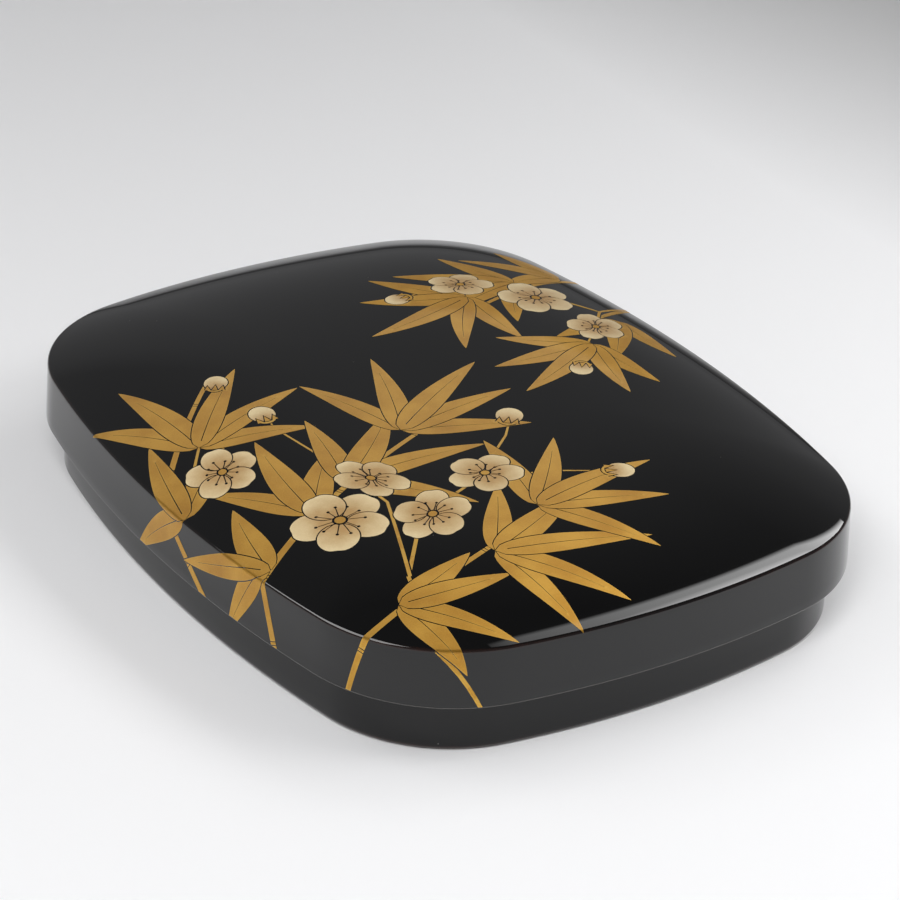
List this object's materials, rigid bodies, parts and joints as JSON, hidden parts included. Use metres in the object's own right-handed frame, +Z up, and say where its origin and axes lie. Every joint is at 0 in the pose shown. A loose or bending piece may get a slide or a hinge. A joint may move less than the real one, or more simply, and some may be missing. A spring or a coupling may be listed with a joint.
{
  "type": "japanese writing box",
  "caption": "Black lacquer writing box with an overlapping domed lid; inside are an inkstone, a water dropper, an ink stick and brushes in lift-out trays.",
  "frame": {"origin": "centre of the base's underside, on the table", "axes": "+Z up; +Y along the box, away from the writer; +X across it, to the writer's right"},
  "size_m": [0.2, 0.251, 0.0477],
  "materials": {
    "black_lacquer": "polished",
    "satin_lacquer": "gloss",
    "slate": "satin",
    "copper": "satin",
    "bamboo": "satin",
    "horn": "gloss",
    "hair": "matte",
    "ink": "satin",
    "gold_makie": "satin",
    "ivory_makie": "satin"
  },
  "bodies": {
    "base": {"base_box": "black_lacquer"},
    "lid": {"lid": "black_lacquer", "lid_skirt": "black_lacquer"},
    "board": {"inkstone_board": "satin_lacquer"},
    "inkstone": {"inkstone": "slate"},
    "dropper": {"dropper_case": "copper", "dropper_top": "copper", "dropper_spout": "copper"},
    "brush_tray": {"brush_tray": "satin_lacquer", "brush_rest_near": "satin_lacquer", "brush_rest_far": "satin_lacquer"},
    "large_brush": {"large_brush_handle": "bamboo", "large_brush_collar": "horn", "large_brush_tuft": "hair", "large_brush_tail": "horn"},
    "small_brush": {"small_brush_handle": "bamboo", "small_brush_tuft": "hair", "small_brush_tail": "horn"},
    "ink_tray": {"ink_tray": "satin_lacquer", "ink_tray_divider": "satin_lacquer"},
    "ink_stick": {"ink_stick": "ink"}
  },
  "joints": [
    {"name": "lid_lift", "type": "slide", "parent": "base", "child": "lid", "axis": [0, 0, 1], "range_m": [0, 0.12]},
    {"name": "board_lift", "type": "slide", "parent": "base", "child": "board", "axis": [0, 0, 1], "range_m": [0, 0.005]},
    {"name": "inkstone_lift", "type": "slide", "parent": "board", "child": "inkstone", "axis": [0, 0, 1], "range_m": [0, 0.01]},
    {"name": "dropper_lift", "type": "slide", "parent": "board", "child": "dropper", "axis": [0, 0, 1], "range_m": [0, 0.008]},
    {"name": "brush_tray_lift", "type": "slide", "parent": "base", "child": "brush_tray", "axis": [0, 0, 1], "range_m": [0, 0.006]},
    {"name": "large_brush_lift", "type": "slide", "parent": "brush_tray", "child": "large_brush", "axis": [0, 0, 1], "range_m": [0, 0.006]},
    {"name": "small_brush_lift", "type": "slide", "parent": "brush_tray", "child": "small_brush", "axis": [0, 0, 1], "range_m": [0, 0.006]},
    {"name": "ink_tray_lift", "type": "slide", "parent": "base", "child": "ink_tray", "axis": [0, 0, 1], "range_m": [0, 0.006]},
    {"name": "ink_stick_lift", "type": "slide", "parent": "ink_tray", "child": "ink_stick", "axis": [0, 0, 1], "range_m": [0, 0.008]}
  ]
}
